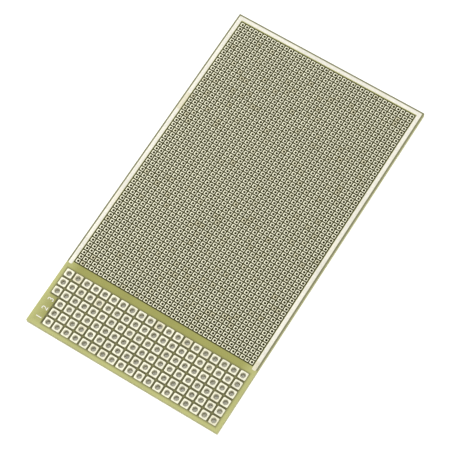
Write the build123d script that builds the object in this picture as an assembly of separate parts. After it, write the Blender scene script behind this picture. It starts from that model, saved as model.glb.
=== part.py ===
from build123d import *
import os

# A prototype board for trying out electronic circuits: one plate of glass-epoxy laminate with a
# pattern of tinned copper on its upper face. A fine field of drilled pads at 1.27 mm fills most of
# the board inside a U-shaped copper strip, and a coarse field of drilled square pads at 2.54 mm
# fills the end that the strip leaves open. The underside is bare.
#
# Sizes are in millimetres. X runs across the board, Y along it towards the closed end of the
# strip, and Z up. The origin is the centre of the underside.

# Pitch of the two pad fields
coarse_pitch = 2.54
fine_pitch = coarse_pitch / 2

# Counts of pads: the fine field has a column on, and one between, each two coarse columns
coarse_columns = 20
coarse_rows = 6
fine_columns = 2 * coarse_columns - 1
fine_rows = 59
blank_rows = 3  # the first column has no pad in this many of the last coarse rows

# Laminate
laminate_thickness = 1.5
side_margin = 2.25  # from the centres of the outer columns to the long edges
closed_end_margin = 2.35  # from the centres of the last fine row to the closed end
open_end_margin = 2.15  # from the centres of the last coarse row to the open end
field_gap = 3 * fine_pitch  # between the centres of the first fine and first coarse rows
corner_radius = 0.25

# Copper foil, with its coat of tin
foil_thickness = 0.05
coarse_pad = 2.03
fine_pad = 0.96
strip_width = 0.95
strip_margin = 0.43  # bare laminate between the strip and the board's edge
strip_overrun = 1.5  # how far each leg of the strip runs past the first fine row's centres
strip_corner = 0.3

# Drilled holes of the coarse field
drill_radius = 0.6
hole_sides = 6  # a hole that takes no measured pin has this many flat sides, to save facets

# Drilled holes of the fine field. Every pad has one, and to save facets they are drawn square and
# at every fourth column and row only.
fine_drill_radius = 0.3
drawn_step = 4
first_drawn_column = 1
first_drawn_row = 5
last_drawn_row = 53

# Rows of the fine field that share one node
rows_in_block = 10

# Worked out from the sizes above
column_span = (coarse_columns - 1) * coarse_pitch
fine_span = (fine_rows - 1) * fine_pitch
coarse_span = (coarse_rows - 1) * coarse_pitch
board_width = column_span + 2 * side_margin
board_length = closed_end_margin + fine_span + field_gap + coarse_span + open_end_margin
last_fine_y = board_length / 2 - closed_end_margin
first_fine_y = last_fine_y - fine_span
first_coarse_y = first_fine_y - field_gap
foil_level = laminate_thickness


def coarse_x(column):
    """X of a coarse column, counted from 0 at the left."""
    return (column - (coarse_columns - 1) / 2) * coarse_pitch


def coarse_y(row):
    """Y of a coarse row, counted from 0 beside the fine field."""
    return first_coarse_y - row * coarse_pitch


def fine_x(column):
    """X of a fine column, counted from 0 at the left."""
    return (column - (fine_columns - 1) / 2) * fine_pitch


def fine_y(row):
    """Y of a fine row, counted from 0 beside the coarse field."""
    return first_fine_y + row * fine_pitch


def has_pad(column, row):
    """The first column is left bare beside the last rows."""
    return column > 0 or row < coarse_rows - blank_rows


def is_pin_hole(column, row):
    """The two diagonal corner holes are the ones that a locating pin is measured in."""
    return (column, row) in ((0, 0), (coarse_columns - 1, coarse_rows - 1))


def hole_outline(column, row):
    """The drilled hole's outline: a true circle for a pin hole, else a polygon round it."""
    if is_pin_hole(column, row):
        return Circle(drill_radius)
    return RegularPolygon(drill_radius, hole_sides, major_radius=False)


def row_holes(row):
    """The hole outlines of one coarse row, in place on the board."""
    return [
        Pos(coarse_x(column), coarse_y(row)) * hole_outline(column, row)
        for column in range(coarse_columns)
        if has_pad(column, row)
    ]


def fine_row_holes(row):
    """The drawn hole outlines of one fine row, in place on the board."""
    if row not in range(first_drawn_row, last_drawn_row + 1, drawn_step):
        return []
    return [
        Pos(fine_x(column), fine_y(row)) * Rectangle(2 * fine_drill_radius, 2 * fine_drill_radius)
        for column in range(first_drawn_column, fine_columns, drawn_step)
    ]


def make_laminate():
    """The plate, with its rounded corners and the holes of both fields right through it."""
    outline = RectangleRounded(board_width, board_length, corner_radius)
    holes = [hole for row in range(coarse_rows) for hole in row_holes(row)]
    holes += [hole for row in range(fine_rows) for hole in fine_row_holes(row)]
    return extrude(outline - holes, laminate_thickness)


def make_border_strip():
    """One U of foil round the fine field: two long legs and the closed end between them."""
    outer_width = board_width - 2 * strip_margin
    inner_width = outer_width - 2 * strip_width
    closed_y = board_length / 2 - strip_margin
    open_y = first_fine_y - strip_overrun
    leg_length = closed_y - open_y
    middle_y = (closed_y + open_y) / 2
    outer = Pos(0, middle_y) * Rectangle(outer_width, leg_length)
    inner = Pos(0, middle_y - strip_width) * Rectangle(inner_width, leg_length)
    strip = outer - inner
    corners = strip.vertices().group_by(Axis.Y)[-1]
    return Pos(0, 0, foil_level) * extrude(fillet(corners, strip_corner), foil_thickness)


def make_coarse_row(row):
    """The drilled pads of one coarse row, each a separate square of foil."""
    pad = Rectangle(coarse_pad, coarse_pad)
    pads = []
    for column in range(coarse_columns):
        if has_pad(column, row):
            drilled = pad - hole_outline(column, row)
            place = Pos(coarse_x(column), coarse_y(row), foil_level)
            pads.append(place * extrude(drilled, foil_thickness))
    return Compound(children=pads)


def make_fine_block(first_row, last_row):
    """Rows of the fine field. A row's pads are so close that one bar of foil stands for a row."""
    bar = Rectangle(column_span + fine_pad, fine_pad)
    bars = []
    for row in range(first_row, last_row):
        outline = Pos(0, fine_y(row)) * bar
        holes = fine_row_holes(row)
        if holes:
            outline = outline - holes
        bars.append(Pos(0, 0, foil_level) * extrude(outline, foil_thickness))
    return Compound(children=bars)


def main():
    os.makedirs("parts", exist_ok=True)
    nodes = {"laminate": make_laminate(), "border_strip": make_border_strip()}
    for row in range(coarse_rows):
        nodes[f"coarse_pads_row_{row + 1}"] = make_coarse_row(row)
    for block, first_row in enumerate(range(0, fine_rows, rows_in_block)):
        last_row = min(first_row + rows_in_block, fine_rows)
        nodes[f"fine_pads_block_{block + 1}"] = make_fine_block(first_row, last_row)
    for name, shape in nodes.items():
        export_step(shape, f"parts/{name}.step")
    print(f"board {board_width:.2f} x {board_length:.2f} x {laminate_thickness} mm, nodes {len(nodes)}")


main()
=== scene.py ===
"""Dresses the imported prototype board: drilled plate, tinned pads, border strip and a studio."""

import math

import bmesh
import bpy
from bpy.props import FloatProperty, FloatVectorProperty, PointerProperty
from bpy.types import Operator, Panel, PropertyGroup
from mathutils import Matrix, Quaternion, Vector


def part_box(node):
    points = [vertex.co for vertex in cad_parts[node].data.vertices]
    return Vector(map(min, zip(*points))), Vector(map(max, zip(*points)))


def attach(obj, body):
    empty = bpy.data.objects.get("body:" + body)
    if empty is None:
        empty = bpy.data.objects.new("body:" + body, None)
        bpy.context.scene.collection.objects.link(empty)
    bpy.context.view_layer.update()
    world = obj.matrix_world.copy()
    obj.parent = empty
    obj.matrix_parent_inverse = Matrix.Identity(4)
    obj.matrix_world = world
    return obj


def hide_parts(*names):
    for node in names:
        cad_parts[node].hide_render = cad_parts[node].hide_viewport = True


bl_info = {
    "name": "Prototype Board",
    "version": (1, 0, 0),
    "blender": (4, 5, 0),
    "location": "3D View > Sidebar > Board",
    "description": "Drilled glass-epoxy board with a fine and a coarse field of tinned pads",
    "category": "Object",
}

MM = 0.001
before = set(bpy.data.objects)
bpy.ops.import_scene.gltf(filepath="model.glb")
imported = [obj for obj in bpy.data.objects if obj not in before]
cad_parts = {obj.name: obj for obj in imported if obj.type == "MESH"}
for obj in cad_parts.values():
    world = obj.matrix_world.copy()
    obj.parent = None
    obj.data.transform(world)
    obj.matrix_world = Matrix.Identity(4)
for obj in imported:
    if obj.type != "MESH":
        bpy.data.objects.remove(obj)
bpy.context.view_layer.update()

FINE_BLOCKS = [f"fine_pads_block_{block}" for block in range(1, 7)]
COARSE_ROWS = [f"coarse_pads_row_{row}" for row in range(1, 7)]

plate_low, plate_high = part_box("laminate")
strip_low, strip_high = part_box("border_strip")
fine_low, fine_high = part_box(FINE_BLOCKS[0])[0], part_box(FINE_BLOCKS[-1])[1]
# The last coarse rows are a pad short at the left, so the field's low corner mixes two rows
full_row_low, coarse_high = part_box(COARSE_ROWS[0])
coarse_low = Vector((full_row_low.x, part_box(COARSE_ROWS[-1])[0].y, full_row_low.z))

# Sizes of the small details

FINE_DRILL_SIDES = 12
COARSE_DRILL_SIDES = 24
DRILL_SPARE = 0.5 * MM  # how far a cutting pin stands out of each face of the plate

FINE_CLEARANCE = 0.03 * MM  # how much wider a pad's own hole is than the drilled one
FINE_CHAMFER = 0.08 * MM
FINE_SHOULDER = 0.015 * MM  # how far the walls of a pad lean
COARSE_CLEARANCE = 0.18 * MM
COARSE_CHAMFER = 0.22 * MM
COARSE_SHOULDER = 0.02 * MM
COARSE_CROWN = 0.09 * MM  # width of the slope round the top of a coarse pad
COARSE_CROWN_SHARE = 0.3  # of the foil's height

STRIP_CORNER = 0.3 * MM
STRIP_SLOPES = ((0.05 * MM, 0.3), (0.15 * MM, 0.15))  # width of each, and its share of the height
STRIP_CELL = 5 * MM  # length of the stretches that the strip's tin varies in

TOUCH = 0.01 * MM  # a point this near to a line counts as lying on it

# Looks of the laminate

NOISE_SPREAD = (0.3, 0.7)  # the values that most of a noise pattern lies between
OUTLINE_FADE = 4.5 * MM  # how far in from the outline the laminate stays pale with painted light through the edges
FOIL_SIDE_DEPTH = 0.05 * MM  # how deep the painted shade of the copper side reaches
UNDERSIDE_SHADOW_SHARE = 0.2  # how much of that painted shade is left at the underside, as a painted shadow of the pads through the laminate
ALONG_FADE = 0.6 * MM  # how softly the margin's painted shade begins at the strip's open end
STRIP_FADE = 0.1 * MM  # and at its outer edge
FINE_FIELD_GROW, FINE_FIELD_FADE = 0.36 * MM, 0.14 * MM
COARSE_FIELD_GROW, COARSE_FIELD_FADE = 0.6 * MM, 0.8 * MM
BLANK_OVER = (0.25 * MM, 0.4 * MM)  # how far the blank corner reaches past its neighbours
BLANK_FADE = 0.5 * MM
BLANK_SHARE = 0.06  # how much of the field's painted shade is left in the blank corner
# Painted light where two gaps cross, farther from the pads' shade: how far from the pad's centre
# it begins and is full, and how pale it is
FINE_CROSSING_LIGHT = (0.66 * MM, 0.88 * MM, 0.085)
COARSE_CROSSING_LIGHT = (1.35 * MM, 1.75 * MM, 0.22)
WALL_FROM, WALL_TO = 0.02 * MM, 0.08 * MM  # how far a hole's wall colour reaches past the drill: painted shade in the fine holes, painted glow in the coarse ones
FACE_EDGE = 0.03 * MM
CLOTH_SHADES = (0.975, 1.02)
CLOTH_RELIEF = 0.004 * MM
RESIN_TINT = (1.0, 0.96, 0.5)

# Looks of the tin

BRIGHT_SHARE = 0.86  # of the pads have no tarnish
DEEPEST_TARNISH = 0.45
PAD_SHADES = (0.95, 1.02)  # darkest and lightest pad
HOLE_RIM_SHADE, LIP_WIDTH = 0.92, 0.08 * MM  # painted shade round the drilled hole
DOME_WEIGHT = 0.8  # of a pad's dome against its lumps
TIN_RELIEF = 0.015 * MM

# The studio

BLACK = (0.0, 0.0, 0.0)
FLOOR_RADIUS = 1.5
FLOOR_DROP = 0.01 * MM  # how far the floor lies under the board
FLOOR_PAINT = (0.86, 0.86, 0.855)
FLOOR_LIFT = (0.55, 0.55, 0.55)  # brings the floor to white
FLOOR_GLOW_UNDER = (0.145, 0.143, 0.115)  # painted warm glow under the board, for light through the translucent laminate, seen through the holes
FLOOR_UNDER_FADE = 0.5 * MM
MIRRORED_SHARE = 0.3  # of the lift shows in reflections
LAMP_SIZE = 0.9
KEY_PLACE = (-0.70, 0.12, 0.42)
FILL_PLACE = (0.55, -0.20, 0.50)
FILL_SHARE = 0.5  # of the key lamp's power
NEAREST_SEEN = 10 * MM


# Settings


class LaminateSettings(PropertyGroup):
    fine_drill: FloatProperty(
        name="Fine Drill", description="Diameter of the holes in the fine field",
        default=0.60 * MM, unit="LENGTH", precision=5)
    drill_shift: FloatProperty(
        name="Drill Shift", description="How far the fine holes sit off their pads, to the right",
        default=0.05 * MM, unit="LENGTH", precision=5)
    coarse_drill: FloatProperty(
        name="Coarse Drill", description="Diameter of the holes in the coarse field",
        default=1.2 * MM, unit="LENGTH", precision=5)
    corner: FloatProperty(
        name="Corner", description="Radius of the plate's four corners",
        default=0.12 * MM, unit="LENGTH", precision=5)
    rim: FloatProperty(
        name="Rim", description="Width of the break along the cut edges",
        default=0.05 * MM, unit="LENGTH", precision=5)
    # Painted light: the laminate is paler near the outline, where light comes through the cut
    # edges
    open_colour: FloatVectorProperty(
        name="Open Laminate", description="Laminate near the board's outline",
        default=(0.59, 0.595, 0.245), subtype="COLOR", size=3, min=0, max=1)
    inner_colour: FloatVectorProperty(
        # Painted shade: the same laminate is darker away from the outline, where less light comes
        # through
        name="Inner Laminate", description="Bare laminate away from the outline",
        default=(0.405, 0.402, 0.125), subtype="COLOR", size=3, min=0, max=1)
    # Painted shade: laminate darkened between the fine pads
    fine_gap_colour: FloatVectorProperty(
        name="Fine Gaps", description="Laminate between the fine pads",
        default=(0.041, 0.040, 0.011), subtype="COLOR", size=3, min=0, max=1)
    # Painted shade: laminate darkened between the coarse pads
    coarse_gap_colour: FloatVectorProperty(
        name="Coarse Gaps", description="Laminate between the coarse pads",
        default=(0.140, 0.135, 0.062), subtype="COLOR", size=3, min=0, max=1)
    # Painted shade: the narrow margin beside the strip is darkened
    strip_side_colour: FloatVectorProperty(
        name="Beside Strip", description="Narrow margin between the strip and the outline",
        default=(0.265, 0.265, 0.165), subtype="COLOR", size=3, min=0, max=1)
    cut_edge_colour: FloatVectorProperty(
        name="Cut Edge", description="Sawn sides of the plate",
        default=(0.54, 0.535, 0.235), subtype="COLOR", size=3, min=0, max=1)
    # Painted shade: the resin in the narrow fine holes is darkened
    fine_wall_colour: FloatVectorProperty(
        name="Fine Hole Wall", description="Resin inside a fine hole",
        default=(0.30, 0.28, 0.13), subtype="COLOR", size=3, min=0, max=1)
    # The pale cut glass of the wide holes, lightened further with a painted glow of light through
    # the board
    coarse_wall_colour: FloatVectorProperty(
        name="Coarse Hole Wall", description="Cut glass and resin inside a coarse hole",
        default=(0.70, 0.68, 0.53), subtype="COLOR", size=3, min=0, max=1)


class CopperSettings(PropertyGroup):
    fine_pitch: FloatProperty(
        name="Fine Pitch", description="Distance between fine holes",
        default=1.27 * MM, unit="LENGTH", precision=5)
    coarse_pitch: FloatProperty(
        name="Coarse Pitch", description="Distance between coarse holes",
        default=2.54 * MM, unit="LENGTH", precision=5)
    fine_pad: FloatProperty(
        name="Fine Pad", description="Side of a fine pad",
        default=0.96 * MM, unit="LENGTH", precision=5)
    coarse_pad: FloatProperty(
        name="Coarse Pad", description="Side of a coarse pad",
        default=2.03 * MM, unit="LENGTH", precision=5)
    strip_width: FloatProperty(
        name="Strip Width", description="Width of the border strip",
        default=0.95 * MM, unit="LENGTH", precision=5)
    number_height: FloatProperty(
        name="Number Height", description="Type size of the row numbers",
        default=2.2 * MM, unit="LENGTH", precision=5)
    fine_tin: FloatVectorProperty(
        name="Fine Tin", description="Tin on the fine pads",
        default=(0.96, 0.945, 0.725), subtype="COLOR", size=3, min=0, max=1)
    coarse_tin: FloatVectorProperty(
        name="Coarse Tin", description="Tin on the coarse pads",
        default=(0.925, 0.905, 0.72), subtype="COLOR", size=3, min=0, max=1)
    strip_tin: FloatVectorProperty(
        name="Strip Tin", description="Tin on the border strip and the numbers",
        default=(0.87, 0.845, 0.745), subtype="COLOR", size=3, min=0, max=1)
    tarnish: FloatVectorProperty(
        name="Tarnish", description="Yellowed tin on a few of the pads",
        default=(0.62, 0.56, 0.33), subtype="COLOR", size=3, min=0, max=1)


class StageSettings(PropertyGroup):
    azimuth: FloatProperty(
        name="Azimuth", description="Camera's turn round the board",
        default=math.radians(35.226), unit="ROTATION")
    elevation: FloatProperty(
        name="Elevation", description="Camera's height above the horizon",
        default=math.radians(67.244), unit="ROTATION")
    roll: FloatProperty(
        name="Roll", description="Camera's turn about its own axis",
        default=math.radians(-3.453), unit="ROTATION")
    distance: FloatProperty(
        name="Distance", description="From the camera to the point it looks at",
        default=491.76 * MM, unit="LENGTH")
    aim: FloatVectorProperty(
        name="Aim", description="Point that the camera looks at",
        default=(0.632 * MM, -2.804 * MM, 1.55 * MM), subtype="XYZ", size=3, precision=5)
    lens: FloatProperty(
        name="Lens", description="Focal length in millimetres", default=165.6)
    lamp_power: FloatProperty(
        name="Lamp Power", description="Watts of the key lamp", default=1.5, min=0)
    ambient: FloatProperty(
        name="Ambient", description="Strength of the light from all round", default=0.79, min=0)


class BoardSettings(PropertyGroup):
    laminate: PointerProperty(type=LaminateSettings)
    copper: PointerProperty(type=CopperSettings)
    stage: PointerProperty(type=StageSettings)


# Shaping


def deselect_all():
    if bpy.context.object and bpy.context.object.mode != "OBJECT":
        bpy.ops.object.mode_set(mode="OBJECT")
    bpy.ops.object.select_all(action="DESELECT")


def activate(piece):
    deselect_all()
    piece.select_set(True)
    bpy.context.view_layer.objects.active = piece


def name_active(name):
    piece = bpy.context.object
    piece.name = name
    piece.data.name = name
    return piece


def edit(piece, mode="VERT"):
    """Goes into edit mode with nothing selected."""
    activate(piece)
    bpy.ops.object.mode_set(mode="EDIT")
    bpy.ops.mesh.select_mode(type=mode)
    bpy.ops.mesh.select_all(action="DESELECT")


def select_where(piece, kind, test):
    """Selects only the vertices, edges or faces of the edited piece that pass the test."""
    bpy.ops.mesh.select_all(action="DESELECT")
    shape = bmesh.from_edit_mesh(piece.data)
    for part in getattr(shape, kind):
        if test(part):
            part.select_set(True)
    bmesh.update_edit_mesh(piece.data)


def looks_up(face):
    return face.normal.z > 0.9


def leave_edit():
    bpy.ops.object.mode_set(mode="OBJECT")


def extrude(offset):
    bpy.ops.mesh.extrude_region_move(TRANSFORM_OT_translate={"value": offset})


def apply_modifier(piece, name):
    activate(piece)
    bpy.ops.object.modifier_apply(modifier=name)


def array(piece, columns, rows, pitch):
    """Repeats the piece along X and Y."""
    for name, count, step in (
            ("columns", columns, (pitch, 0, 0)),
            ("rows", rows, (0, pitch, 0))):
        repeat = piece.modifiers.new(name, "ARRAY")
        repeat.use_relative_offset = False
        repeat.use_constant_offset = True
        repeat.constant_offset_displace = step
        repeat.count = count
        apply_modifier(piece, name)


def duplicate(piece, name, offset):
    """A copy with its own mesh, moved by the offset."""
    activate(piece)
    bpy.ops.object.duplicate(linked=False)
    copy = name_active(name)
    copy.location = offset
    bpy.ops.object.transform_apply(location=True, rotation=False, scale=False)
    return copy


def discard(piece):
    activate(piece)
    bpy.ops.object.delete()


def settle(piece, material, slot, *nodes, smooth=35):
    """Puts the finished piece at the origin, gives it its finish and ties it to the board."""
    activate(piece)
    bpy.ops.object.transform_apply(location=True, rotation=True, scale=True)
    bpy.ops.object.shade_smooth_by_angle(angle=math.radians(smooth))
    piece.data.materials.clear()
    piece.data.materials.append(material)
    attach(piece, "root")
    if nodes:
        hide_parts(*nodes)


def grid_size(low, high, pad, pitch):
    """How many columns and rows of pads fill the box."""
    columns = round((high.x - low.x - pad) / pitch) + 1
    rows = round((high.y - low.y - pad) / pitch) + 1
    return columns, rows


def first_centre(node, pad):
    """Middle of the pad at a node's lowest corner."""
    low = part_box(node)[0]
    return Vector((low.x + pad / 2, low.y + pad / 2, low.z))


# Node groups


def start_group(name, inputs, outputs):
    group = bpy.data.node_groups.new(name, "ShaderNodeTree")
    for socket, kind, default in inputs:
        made = group.interface.new_socket(socket, in_out="INPUT", socket_type=kind)
        if default is not None:
            made.default_value = default
    for socket, kind in outputs:
        group.interface.new_socket(socket, in_out="OUTPUT", socket_type=kind)
    return group, group.nodes.new("NodeGroupInput"), group.nodes.new("NodeGroupOutput")


def plug(tree, socket, value):
    """Links a socket to another one, or sets it to a plain value."""
    if isinstance(value, bpy.types.NodeSocket):
        tree.links.new(value, socket)
    else:
        socket.default_value = value


def calc(tree, operation, *values):
    node = tree.nodes.new("ShaderNodeMath")
    node.operation = operation
    for socket, value in zip(node.inputs, values):
        plug(tree, socket, value)
    return node.outputs[0]


def remap(tree, value, low, high, to_low=0.0, to_high=1.0):
    """Eases a value from one range to another."""
    node = tree.nodes.new("ShaderNodeMapRange")
    node.interpolation_type = "SMOOTHSTEP"
    for socket, given in zip(node.inputs, (value, low, high, to_low, to_high)):
        plug(tree, socket, given)
    return node.outputs[0]


def axes(tree, vector):
    """The X, Y and Z of a vector."""
    node = tree.nodes.new("ShaderNodeSeparateXYZ")
    plug(tree, node.inputs[0], vector)
    return node.outputs


def blend(tree, factor, first, second, kind="MIX"):
    """Goes from the first colour to the second, or multiplies them."""
    node = tree.nodes.new("ShaderNodeMix")
    node.data_type = "RGBA"
    node.blend_type = kind
    plug(tree, node.inputs["Factor"], factor)
    plug(tree, node.inputs[6], first)
    plug(tree, node.inputs[7], second)
    return node.outputs[2]


def colour(values):
    """Adds the opaque alpha that a colour socket needs."""
    return (*values, 1.0)


def place(tree, group, vector, **inputs):
    """Puts a shared group in a material with its own values."""
    node = tree.nodes.new("ShaderNodeGroup")
    node.node_tree = group
    plug(tree, node.inputs["Vector"], vector)
    for name, value in inputs.items():
        plug(tree, node.inputs[name.replace("_", " ")], value)
    return node.outputs


def make_rectangle_group():
    """How far inside a rectangle a point lies: 0 at its outline, 1 past the softness."""
    group, given, out = start_group(
        "Inside Rectangle",
        [("Vector", "NodeSocketVector", None), ("Centre X", "NodeSocketFloat", 0.0),
         ("Centre Y", "NodeSocketFloat", 0.0), ("Half Width", "NodeSocketFloat", 0.01),
         ("Half Length", "NodeSocketFloat", 0.01), ("Softness", "NodeSocketFloat", 0.001)],
        [("Mask", "NodeSocketFloat")])
    place_of = axes(group, given.outputs["Vector"])
    insides = []
    for axis, centre, half in ((0, "Centre X", "Half Width"), (1, "Centre Y", "Half Length")):
        off = calc(group, "SUBTRACT", place_of[axis], given.outputs[centre])
        insides.append(calc(group, "SUBTRACT", given.outputs[half], calc(group, "ABSOLUTE", off)))
    inside = calc(group, "MINIMUM", *insides)
    plug(group, out.inputs["Mask"], remap(group, inside, 0.0, given.outputs["Softness"]))
    return group


def make_cell_group():
    """How far a point is from its pad's centre on a square grid, and a number of the pad's own."""
    group, given, out = start_group(
        "Pad Cell",
        [("Vector", "NodeSocketVector", None), ("Pitch", "NodeSocketFloat", 0.00254),
         ("Origin X", "NodeSocketFloat", 0.0), ("Origin Y", "NodeSocketFloat", 0.0)],
        [("Radius", "NodeSocketFloat"), ("Reach", "NodeSocketFloat"),
         ("Chance", "NodeSocketFloat")])
    place_of = axes(group, given.outputs["Vector"])
    cells, offsets = [], []
    for axis, origin in ((0, "Origin X"), (1, "Origin Y")):
        shifted = calc(group, "SUBTRACT", place_of[axis], given.outputs[origin])
        steps = calc(group, "DIVIDE", shifted, given.outputs["Pitch"])
        cell = calc(group, "ROUND", steps)
        cells.append(cell)
        rest = calc(group, "SUBTRACT", steps, cell)
        offset = calc(group, "MULTIPLY", rest, given.outputs["Pitch"])
        offsets.append(calc(group, "ABSOLUTE", offset))
    squares = [calc(group, "MULTIPLY", offset, offset) for offset in offsets]
    plug(group, out.inputs["Radius"], calc(group, "SQRT", calc(group, "ADD", *squares)))
    plug(group, out.inputs["Reach"], calc(group, "MAXIMUM", *offsets))
    index = group.nodes.new("ShaderNodeCombineXYZ")
    plug(group, index.inputs[0], cells[0])
    plug(group, index.inputs[1], cells[1])
    noise = group.nodes.new("ShaderNodeTexWhiteNoise")
    noise.noise_dimensions = "2D"
    plug(group, noise.inputs["Vector"], index.outputs[0])
    plug(group, out.inputs["Chance"], noise.outputs["Value"])
    return group


def make_weave_group():
    """Plain glass cloth: threads that pass over and under one another."""
    group, given, out = start_group(
        "Glass Cloth",
        [("Vector", "NodeSocketVector", None), ("Warp", "NodeSocketFloat", 0.0006),
         ("Weft", "NodeSocketFloat", 0.0008)],
        [("Height", "NodeSocketFloat")])
    place_of = axes(group, given.outputs["Vector"])
    waves = []
    for axis, thread in ((0, "Warp"), (1, "Weft")):
        turns = calc(group, "DIVIDE", place_of[axis], given.outputs[thread])
        waves.append(calc(group, "SINE", calc(group, "MULTIPLY", turns, 2 * math.pi)))
    crossed = calc(group, "MULTIPLY", *waves)
    plug(group, out.inputs["Height"], calc(group, "MULTIPLY_ADD", crossed, 0.5, 0.5))
    return group


def make_mottle_group():
    """Soft uneven patches between a low and a high value."""
    group, given, out = start_group(
        "Mottle",
        [("Vector", "NodeSocketVector", None), ("Scale", "NodeSocketFloat", 500.0),
         ("Low", "NodeSocketFloat", 0.0), ("High", "NodeSocketFloat", 1.0)],
        [("Value", "NodeSocketFloat")])
    noise = group.nodes.new("ShaderNodeTexNoise")
    noise.inputs["Detail"].default_value = 3.0
    plug(group, noise.inputs["Vector"], given.outputs["Vector"])
    plug(group, noise.inputs["Scale"], given.outputs["Scale"])
    value = remap(
        group, noise.outputs[0], *NOISE_SPREAD, given.outputs["Low"], given.outputs["High"])
    plug(group, out.inputs["Value"], value)
    return group


GROUP_MAKERS = {
    "Inside Rectangle": make_rectangle_group,
    "Pad Cell": make_cell_group,
    "Glass Cloth": make_weave_group,
    "Mottle": make_mottle_group,
}


def shared(name):
    """The named group, built the first time that it is asked for."""
    return bpy.data.node_groups.get(name) or GROUP_MAKERS[name]()


def start_material(name):
    material = bpy.data.materials.new(name)
    material.use_nodes = True
    tree = material.node_tree
    where = tree.nodes.new("ShaderNodeTexCoord").outputs["Object"]
    return material, tree, tree.nodes["Principled BSDF"], where


def add_bump(tree, shader, height, distance):
    bump = tree.nodes.new("ShaderNodeBump")
    bump.inputs["Distance"].default_value = distance
    plug(tree, bump.inputs["Height"], height)
    plug(tree, shader.inputs["Normal"], bump.outputs[0])


def grey(tree, value):
    """The same value in all three colour channels."""
    node = tree.nodes.new("ShaderNodeCombineColor")
    for socket in node.inputs[:3]:
        plug(tree, socket, value)
    return node.outputs[0]


# Finishes


def rectangle_mask(tree, where, low, high, grow, softness):
    """Mask of the rectangle between two corners, grown on every side."""
    return place(
        tree, shared("Inside Rectangle"), where,
        Centre_X=(low.x + high.x) / 2, Centre_Y=(low.y + high.y) / 2,
        Half_Width=(high.x - low.x) / 2 + grow, Half_Length=(high.y - low.y) / 2 + grow,
        Softness=softness)["Mask"]


def tint_margins(tree, where, laminate, copper_side):
    """Pale with painted light through the edges near the outline, and darker with painted shade in
    the narrow margin outside the strip.
    """
    # Painted light: paler laminate near the outline, fading inwards
    outline = rectangle_mask(tree, where, plate_low, plate_high, 0.0, OUTLINE_FADE)
    bare = blend(tree, outline, colour(laminate.open_colour), colour(laminate.inner_colour))
    # Painted shade in the narrow margin between the strip and the outline
    past = 10 * MM  # takes the mask's other edges off the board
    along = rectangle_mask(
        tree, where, Vector((plate_low.x - past, strip_low.y)),
        Vector((plate_high.x + past, plate_high.y + past)), 0.0, ALONG_FADE)
    within = rectangle_mask(
        tree, where, Vector((strip_low.x, strip_low.y - plate_high.y)), strip_high,
        STRIP_FADE, STRIP_FADE)
    outside = calc(tree, "MULTIPLY", along, calc(tree, "SUBTRACT", 1.0, within))
    outside = calc(tree, "MULTIPLY", outside, copper_side)
    return blend(tree, outside, bare, colour(laminate.strip_side_colour))


def mask_coarse_field(tree, where, copper):
    """Where the coarse field's painted shade falls: the field, less the corner that has no pads.
    """
    field = rectangle_mask(
        tree, where, coarse_low, coarse_high, COARSE_FIELD_GROW, COARSE_FIELD_FADE)
    over_x, over_y = BLANK_OVER
    margin = (copper.coarse_pad + copper.coarse_pitch) / 2
    blank_low = Vector((full_row_low.x - margin, coarse_low.y - margin))
    blank_high = Vector((
        full_row_low.x + copper.coarse_pad + over_x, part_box(COARSE_ROWS[3])[1].y + over_y))
    blank = rectangle_mask(tree, where, blank_low, blank_high, 0.0, BLANK_FADE)
    return calc(tree, "MULTIPLY", field, remap(tree, blank, 0.0, 1.0, 1.0, BLANK_SHARE))


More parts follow.
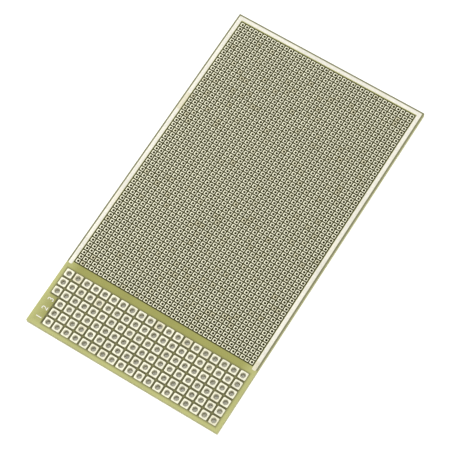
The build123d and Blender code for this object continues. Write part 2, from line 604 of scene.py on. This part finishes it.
def make_laminate_finish(laminate, copper):
    """Olive glass-epoxy: dark with painted shade between pads, pale with painted light near the
    outline, and cloudy with cloth under the resin.
    """
    material, tree, shader, where = start_material("glass_epoxy")
    # Painted shade is full on the copper side; at the underside a little of it stays as the pads'
    # painted shadow
    copper_side = remap(
        tree, axes(tree, where)[2], plate_low.z, plate_high.z - FOIL_SIDE_DEPTH,
        UNDERSIDE_SHADOW_SHARE, 1.0)
    tinted = tint_margins(tree, where, laminate, copper_side)

    fine_field = rectangle_mask(
        tree, where, fine_low, fine_high, FINE_FIELD_GROW, FINE_FIELD_FADE)
    coarse_field = mask_coarse_field(tree, where, copper)
    # Painted shade between the pads of each field
    for field, gap_shade_colour in (
            (fine_field, laminate.fine_gap_colour),
            (coarse_field, laminate.coarse_gap_colour)):
        dark = calc(tree, "MULTIPLY", field, copper_side)
        tinted = blend(tree, dark, tinted, colour(gap_shade_colour))

    fine_origin = first_centre(FINE_BLOCKS[0], copper.fine_pad)
    fine_cell = place(
        tree, shared("Pad Cell"), where, Pitch=copper.fine_pitch,
        Origin_X=fine_origin.x + laminate.drill_shift, Origin_Y=fine_origin.y)
    coarse_origin = first_centre(COARSE_ROWS[0], copper.coarse_pad)
    coarse_cell = place(
        tree, shared("Pad Cell"), where, Pitch=copper.coarse_pitch,
        Origin_X=coarse_origin.x, Origin_Y=coarse_origin.y)
    # Painted light where gaps cross, farther from the pads' painted shade
    for field, cell, (begin, full, pale) in (
            (fine_field, fine_cell, FINE_CROSSING_LIGHT),
            (coarse_field, coarse_cell, COARSE_CROSSING_LIGHT)):
        crossing_light = remap(tree, cell["Radius"], begin, full, 0.0, pale)
        crossing_light = calc(tree, "MULTIPLY", crossing_light, field)
        tinted = blend(tree, crossing_light, tinted, colour(laminate.open_colour))
    # Hole walls: painted shade in the fine holes, painted glow in the coarse ones
    for field, cell, drill, wall_colour in (
            (fine_field, fine_cell, laminate.fine_drill, laminate.fine_wall_colour),
            (coarse_field, coarse_cell, laminate.coarse_drill, laminate.coarse_wall_colour)):
        in_hole = remap(
            tree, cell["Radius"], drill / 2 + WALL_FROM, drill / 2 + WALL_TO, 1.0, 0.0)
        wall = calc(tree, "MULTIPLY", in_hole, field)
        tinted = blend(tree, wall, tinted, colour(wall_colour))

    face = rectangle_mask(tree, where, plate_low, plate_high, 0.0, FACE_EDGE)
    tinted = blend(tree, face, colour(laminate.cut_edge_colour), tinted)

    cloth = place(tree, shared("Glass Cloth"), where, Warp=0.58 * MM, Weft=0.74 * MM)["Height"]
    cloud = place(tree, shared("Mottle"), where, Scale=180.0, Low=0.94, High=1.03)["Value"]
    grain = calc(tree, "MULTIPLY", cloud, remap(tree, cloth, 0.0, 1.0, *CLOTH_SHADES))
    tinted = blend(tree, 1.0, tinted, grey(tree, grain), "MULTIPLY")
    plug(tree, shader.inputs["Base Color"], tinted)

    scuffs = place(tree, shared("Mottle"), where, Scale=900.0, Low=0.34, High=0.52)["Value"]
    plug(tree, shader.inputs["Roughness"], scuffs)
    shader.inputs["Specular IOR Level"].default_value = 0.2
    shader.inputs["Specular Tint"].default_value = colour(RESIN_TINT)
    add_bump(tree, shader, cloth, CLOTH_RELIEF)
    return material


def make_tin_finish(name, tin, copper, pitch, node, pad, hole):
    """Hot-tinned copper: bright, a little lumpy, with each pad slightly its own and a painted
    shade round its hole.
    """
    material, tree, shader, where = start_material(name)
    origin = first_centre(node, pad)
    cell = place(
        tree, shared("Pad Cell"), where, Pitch=pitch, Origin_X=origin.x, Origin_Y=origin.y)

    yellowed = remap(tree, cell["Chance"], BRIGHT_SHARE, 1.0, 0.0, DEEPEST_TARNISH)
    tinted = blend(tree, yellowed, colour(tin), colour(copper.tarnish))
    patches = place(tree, shared("Mottle"), where, Scale=1500.0, Low=0.95, High=1.03)["Value"]
    own = remap(tree, cell["Chance"], 0.0, 0.9, *PAD_SHADES)
    # Painted shade round the drilled hole
    rim_shade = remap(tree, cell["Radius"], hole / 2, hole / 2 + LIP_WIDTH, HOLE_RIM_SHADE, 1.0)
    shade = calc(tree, "MULTIPLY", calc(tree, "MULTIPLY", patches, own), rim_shade)
    tinted = blend(tree, 1.0, tinted, grey(tree, shade), "MULTIPLY")
    plug(tree, shader.inputs["Base Color"], tinted)

    shader.inputs["Metallic"].default_value = 1.0
    dull = place(tree, shared("Mottle"), where, Scale=2200.0, Low=0.34, High=0.50)["Value"]
    plug(tree, shader.inputs["Roughness"], dull)
    lumps = place(tree, shared("Mottle"), where, Scale=1100.0, Low=0.0, High=1.0)["Value"]
    dome = remap(tree, cell["Reach"], hole / 2, pad / 2, 1.0, 0.0)
    add_bump(tree, shader, calc(tree, "MULTIPLY_ADD", dome, DOME_WEIGHT, lumps), TIN_RELIEF)
    return material


# Pieces


def add_drills(name, diameter, sides, first, columns, rows, pitch):
    """Cutting pins on a grid, long enough to pass through the plate."""
    depth = plate_high.z - plate_low.z + 2 * DRILL_SPARE
    middle = (plate_high.z + plate_low.z) / 2
    deselect_all()
    bpy.ops.mesh.primitive_cylinder_add(
        vertices=sides, radius=diameter / 2, depth=depth, location=(first.x, first.y, middle))
    drills = name_active(name)
    bpy.ops.object.transform_apply(location=True, rotation=False, scale=False)
    array(drills, columns, rows, pitch)
    return drills


def cut(piece, tool):
    """Takes the tool's shape out of the piece, and the tool out of the scene."""
    opening = piece.modifiers.new("drilled", "BOOLEAN")
    opening.operation = "DIFFERENCE"
    opening.solver = "MANIFOLD"
    opening.object = tool
    apply_modifier(piece, "drilled")
    discard(tool)


def add_pad(name, side, hole, shift, corner, corner_steps, height, shoulder):
    """One pad at the origin: a square ring with cut corners round a hole, with leaning walls."""
    centre, drilled = (0, 0, 0), (shift, 0, 0)
    ring_points = 4 * (corner_steps + 2)  # as many as the square has once its sides are halved
    deselect_all()
    bpy.ops.mesh.primitive_plane_add(size=side, location=centre)
    pad = name_active(name)
    edit(pad)
    bpy.ops.mesh.select_all(action="SELECT")
    bpy.ops.mesh.bevel(offset=corner, segments=corner_steps, affect="VERTICES")
    bpy.ops.mesh.select_mode(type="EDGE")
    select_where(pad, "edges", lambda edge: edge.calc_length() > side / 2)
    bpy.ops.mesh.subdivide(number_cuts=1)
    bpy.ops.mesh.select_all(action="SELECT")
    bpy.ops.mesh.delete(type="ONLY_FACE")
    bpy.ops.mesh.primitive_circle_add(vertices=ring_points, radius=hole / 2, location=drilled)
    bpy.ops.mesh.select_all(action="SELECT")
    bpy.ops.mesh.bridge_edge_loops()
    bpy.ops.mesh.select_mode(type="FACE")
    bpy.ops.mesh.select_all(action="SELECT")
    extrude((0, 0, height))
    bpy.ops.mesh.select_mode(type="VERT")

    def is_top(vertex):
        return vertex.co.z > height / 2

    def in_rim(vertex):
        return math.hypot(vertex.co.x - shift, vertex.co.y) < hole / 2 + TOUCH

    for test, growth, pivot in (
            (lambda v: is_top(v) and not in_rim(v), 1 - 2 * shoulder / side, centre),
            (lambda v: is_top(v) and in_rim(v), 1 + 2 * shoulder / hole, drilled)):
        select_where(pad, "verts", test)
        bpy.ops.transform.resize(value=(growth, growth, 1), center_override=pivot)
    bpy.ops.mesh.select_all(action="SELECT")
    bpy.ops.mesh.normals_make_consistent(inside=False)
    leave_edit()
    return pad


def lay_pads(pad, nodes, side, pitch, finish):
    """Copies the pad to each node, repeats it over the node's grid, and clears it away."""
    for node in nodes:
        piece = duplicate(pad, f"{node}_tinned", first_centre(node, side))
        array(piece, *grid_size(*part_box(node), side, pitch), pitch)
        settle(piece, finish, "tinned_copper", node)
    discard(pad)


class BOARD_OT_laminate(Operator):
    """Make the plate, round its corners, break its edges and drill both fields"""
    bl_idname = "board.laminate"
    bl_label = "Laminate"

    def execute(self, context):
        laminate, copper = context.scene.board.laminate, context.scene.board.copper
        size = plate_high - plate_low

        def is_upright(edge):
            return abs(edge.verts[0].co.z - edge.verts[1].co.z) > size.z / 2

        deselect_all()
        bpy.ops.mesh.primitive_cube_add(size=1, location=(plate_low + plate_high) / 2, scale=size)
        plate = name_active("laminate_plate")
        bpy.ops.object.transform_apply(location=True, rotation=False, scale=True)
        edit(plate, "EDGE")
        select_where(plate, "edges", is_upright)
        bpy.ops.mesh.bevel(offset=laminate.corner, segments=4)
        select_where(plate, "edges", lambda edge: not is_upright(edge))
        bpy.ops.mesh.bevel(offset=laminate.rim, segments=2)
        leave_edit()

        shift = Vector((laminate.drill_shift, 0, 0))
        cut(plate, add_drills(
            "fine_drills", laminate.fine_drill, FINE_DRILL_SIDES,
            first_centre(FINE_BLOCKS[0], copper.fine_pad) + shift,
            *grid_size(fine_low, fine_high, copper.fine_pad, copper.fine_pitch),
            copper.fine_pitch))
        for node in COARSE_ROWS:
            cut(plate, add_drills(
                "coarse_drills", laminate.coarse_drill, COARSE_DRILL_SIDES,
                first_centre(node, copper.coarse_pad),
                *grid_size(*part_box(node), copper.coarse_pad, copper.coarse_pitch),
                copper.coarse_pitch))
        finish = make_laminate_finish(laminate, copper)
        settle(plate, finish, "laminate", "laminate")
        return {"FINISHED"}


class BOARD_OT_fine_pads(Operator):
    """Make one fine pad and lay it out in the six blocks"""
    bl_idname = "board.fine_pads"
    bl_label = "Fine Pads"

    def execute(self, context):
        laminate, copper = context.scene.board.laminate, context.scene.board.copper
        height = fine_high.z - fine_low.z
        pad = add_pad(
            "fine_pad", copper.fine_pad, laminate.fine_drill + FINE_CLEARANCE,
            laminate.drill_shift, FINE_CHAMFER, 1, height, FINE_SHOULDER)
        finish = make_tin_finish(
            "tinned_fine_pads", copper.fine_tin, copper, copper.fine_pitch,
            FINE_BLOCKS[0], copper.fine_pad, laminate.fine_drill)
        lay_pads(pad, FINE_BLOCKS, copper.fine_pad, copper.fine_pitch, finish)
        return {"FINISHED"}


class BOARD_OT_coarse_pads(Operator):
    """Make one coarse pad and lay it out in the six rows"""
    bl_idname = "board.coarse_pads"
    bl_label = "Coarse Pads"

    def execute(self, context):
        laminate, copper = context.scene.board.laminate, context.scene.board.copper
        height = coarse_high.z - coarse_low.z
        crown = height * COARSE_CROWN_SHARE
        pad = add_pad(
            "coarse_pad", copper.coarse_pad, laminate.coarse_drill + COARSE_CLEARANCE, 0.0,
            COARSE_CHAMFER, 4, height - crown, COARSE_SHOULDER)
        edit(pad, "FACE")
        select_where(pad, "faces", looks_up)
        bpy.ops.mesh.inset(thickness=COARSE_CROWN, depth=crown)
        leave_edit()
        finish = make_tin_finish(
            "tinned_coarse_pads", copper.coarse_tin, copper, copper.coarse_pitch,
            COARSE_ROWS[0], copper.coarse_pad, laminate.coarse_drill)
        lay_pads(pad, COARSE_ROWS, copper.coarse_pad, copper.coarse_pitch, finish)
        return {"FINISHED"}


class BOARD_OT_border_strip(Operator):
    """Draw the U-shaped strip round the fine field and round its upper edges"""
    bl_idname = "board.border_strip"
    bl_label = "Border Strip"

    def execute(self, context):
        copper = context.scene.board.copper
        wide = copper.strip_width
        height = strip_high.z - strip_low.z
        span = strip_high.x - strip_low.x
        leg = strip_high.y - strip_low.y - wide
        top_of_leg = strip_high.y - wide
        right_leg = strip_high.x - wide

        def at_top(vertex):
            return vertex.co.y > top_of_leg - TOUCH

        deselect_all()
        bpy.ops.mesh.primitive_plane_add(
            size=1, location=(strip_low.x + wide / 2, strip_low.y + leg / 2, strip_low.z))
        strip = name_active("border_strip_tinned")
        strip.scale = (wide, leg, 1)
        bpy.ops.object.transform_apply(location=True, rotation=False, scale=True)
        edit(strip, "EDGE")
        select_where(strip, "edges", lambda edge: all(at_top(v) for v in edge.verts))
        extrude((0, wide, 0))
        select_where(
            strip, "edges",
            lambda edge: all(
                at_top(v) and v.co.x > strip_low.x + wide - TOUCH for v in edge.verts))
        extrude((span - 2 * wide, 0, 0))
        extrude((wide, 0, 0))
        select_where(
            strip, "edges",
            lambda edge: all(
                abs(v.co.y - top_of_leg) < TOUCH and v.co.x > right_leg - TOUCH
                for v in edge.verts))
        extrude((0, -leg, 0))
        bpy.ops.mesh.select_mode(type="VERT")
        select_where(strip, "verts", lambda v: len(v.link_edges) == 2)
        bpy.ops.mesh.bevel(offset=STRIP_CORNER, segments=4, affect="VERTICES")
        bpy.ops.mesh.select_mode(type="FACE")
        bpy.ops.mesh.select_all(action="SELECT")
        extrude((0, 0, height * (1 - sum(share for width, share in STRIP_SLOPES))))
        for width, share in STRIP_SLOPES:
            bpy.ops.mesh.inset(thickness=width, depth=height * share)
        bpy.ops.mesh.select_all(action="SELECT")
        bpy.ops.mesh.normals_make_consistent(inside=False)
        leave_edit()
        finish = make_tin_finish(
            "tinned_strip", copper.strip_tin, copper, STRIP_CELL, "border_strip", 0.0, 0.0)
        settle(strip, finish, "tinned_copper", "border_strip", smooth=50)
        return {"FINISHED"}


class BOARD_OT_row_numbers(Operator):
    """Number the three short rows of the coarse field, beside the missing pads"""
    bl_idname = "board.row_numbers"
    bl_label = "Row Numbers"

    def execute(self, context):
        copper = context.scene.board.copper
        finish = make_tin_finish(
            "tinned_numbers", copper.strip_tin, copper, STRIP_CELL, "border_strip", 0.0, 0.0)
        height = coarse_high.z - coarse_low.z
        middle_x = full_row_low.x + copper.coarse_pad / 2
        for number, node in enumerate(reversed(COARSE_ROWS[3:]), start=1):
            middle_y = first_centre(node, copper.coarse_pad).y
            deselect_all()
            bpy.ops.object.text_add(
                location=(middle_x, middle_y, coarse_low.z + height / 2),
                rotation=(0, 0, math.pi / 2))
            figure = bpy.context.object.data
            figure.body = str(number)
            figure.size = copper.number_height
            figure.align_x = "CENTER"
            figure.align_y = "CENTER"
            figure.extrude = height / 2
            figure.resolution_u = 4
            bpy.ops.object.convert(target="MESH")
            mark = name_active(f"row_number_{number}")
            edit(mark)
            bpy.ops.mesh.select_all(action="SELECT")
            bpy.ops.mesh.remove_doubles(threshold=0.0005 * MM)
            bpy.ops.mesh.normals_make_consistent(inside=False)
            leave_edit()
            settle(mark, finish, "tinned_copper")
        return {"FINISHED"}


# Stage


def make_floor_finish():
    """Matt white floor: white to the eye round the board, and under it shaded, with a dim painted
    glow of light through the board.
    """
    material, tree, shader, where = start_material("studio_floor")
    shader.inputs["Base Color"].default_value = colour(FLOOR_PAINT)
    shader.inputs["Specular IOR Level"].default_value = 0.0
    mottle = place(tree, shared("Mottle"), where, Scale=4.0, Low=0.85, High=0.95)["Value"]
    plug(tree, shader.inputs["Roughness"], mottle)
    path = tree.nodes.new("ShaderNodeLightPath").outputs
    mirrored = calc(tree, "MAXIMUM", path["Is Glossy Ray"], path["Is Transmission Ray"])
    mirrored = calc(tree, "MULTIPLY", mirrored, MIRRORED_SHARE)
    seen = calc(tree, "MAXIMUM", path["Is Camera Ray"], mirrored)
    # Under the board, a dim warm painted glow takes the place of the white lift
    under = rectangle_mask(tree, where, plate_low, plate_high, 0.0, FLOOR_UNDER_FADE)
    lift = blend(tree, under, colour(FLOOR_LIFT), colour(FLOOR_GLOW_UNDER))
    plug(tree, shader.inputs["Emission Color"], blend(tree, seen, colour(BLACK), lift))
    shader.inputs["Emission Strength"].default_value = 1.0
    return material


def light_world(ambient):
    """Even light from all round, which the camera and reflections see as white."""
    world = bpy.data.worlds.new("studio_light")
    bpy.context.scene.world = world
    world.use_nodes = True
    tree = world.node_tree
    background = tree.nodes["Background"]
    background.inputs["Color"].default_value = (1, 1, 1, 1)
    path = tree.nodes.new("ShaderNodeLightPath").outputs
    seen = calc(tree, "MAXIMUM", path["Is Camera Ray"], path["Is Glossy Ray"])
    seen = calc(tree, "MAXIMUM", seen, path["Is Transmission Ray"])
    plug(tree, background.inputs["Strength"], remap(tree, seen, 0.0, 1.0, ambient, 1.0))


def add_lamp(name, place_at, power):
    """A soft square lamp turned to the middle of the board."""
    deselect_all()
    toward = -Vector(place_at)
    bpy.ops.object.light_add(
        type="AREA", location=place_at, rotation=toward.to_track_quat("-Z", "Y").to_euler())
    lamp = name_active(name)
    lamp.data.size = LAMP_SIZE
    lamp.data.energy = power


class BOARD_OT_stage(Operator):
    """Set the floor, the lamps, the surrounding light and the camera"""
    bl_idname = "board.stage"
    bl_label = "Stage"

    def execute(self, context):
        stage = context.scene.board.stage
        deselect_all()
        bpy.ops.mesh.primitive_circle_add(
            vertices=64, radius=FLOOR_RADIUS, fill_type="NGON", location=(0, 0, -FLOOR_DROP))
        floor = name_active("studio_floor")
        bpy.ops.object.transform_apply(location=True, rotation=False, scale=True)
        floor.data.materials.append(make_floor_finish())

        light_world(stage.ambient)
        add_lamp("key_lamp", KEY_PLACE, stage.lamp_power)
        add_lamp("fill_lamp", FILL_PLACE, stage.lamp_power * FILL_SHARE)

        back = Vector((
            math.sin(stage.azimuth) * math.cos(stage.elevation),
            -math.cos(stage.azimuth) * math.cos(stage.elevation),
            math.sin(stage.elevation)))
        turn = (-back).to_track_quat("-Z", "Y") @ Quaternion((0, 0, 1), stage.roll)
        deselect_all()
        bpy.ops.object.camera_add(
            location=Vector(stage.aim) + back * stage.distance, rotation=turn.to_euler())
        camera = name_active("studio_camera")
        camera.data.lens = stage.lens
        camera.data.clip_start = NEAREST_SEEN
        context.scene.camera = camera
        context.scene.view_settings.view_transform = "Standard"
        # The fine pads are a few pixels wide, and denoising would smear their holes
        context.scene.cycles.use_denoising = False
        return {"FINISHED"}


# Sidebar


class BOARD_PT_sidebar(Panel):
    """Lists the board's pieces and their settings"""
    bl_label = "Prototype Board"
    bl_idname = "BOARD_PT_sidebar"
    bl_space_type = "VIEW_3D"
    bl_region_type = "UI"
    bl_category = "Board"

    def draw(self, context):
        for title, settings, operators in (
                ("Laminate", context.scene.board.laminate, PIECES[:1]),
                ("Copper", context.scene.board.copper, PIECES[1:]),
                ("Stage", context.scene.board.stage, [BOARD_OT_stage])):
            box = self.layout.box()
            box.label(text=title)
            for name in settings.__annotations__:
                box.prop(settings, name)
            for operator in operators:
                box.operator(operator.bl_idname)


PIECES = [
    BOARD_OT_laminate,
    BOARD_OT_fine_pads,
    BOARD_OT_coarse_pads,
    BOARD_OT_border_strip,
    BOARD_OT_row_numbers,
]

CLASSES = [
    LaminateSettings,
    CopperSettings,
    StageSettings,
    BoardSettings,
    *PIECES,
    BOARD_OT_stage,
    BOARD_PT_sidebar,
]


def register():
    for item in CLASSES:
        bpy.utils.register_class(item)
    bpy.types.Scene.board = PointerProperty(type=BoardSettings)


def unregister():
    del bpy.types.Scene.board
    for item in reversed(CLASSES):
        bpy.utils.unregister_class(item)


def main():
    register()
    bpy.ops.board.laminate()
    bpy.ops.board.fine_pads()
    bpy.ops.board.coarse_pads()
    bpy.ops.board.border_strip()
    bpy.ops.board.row_numbers()
    bpy.ops.board.stage()


if __name__ == "__main__":
    main()
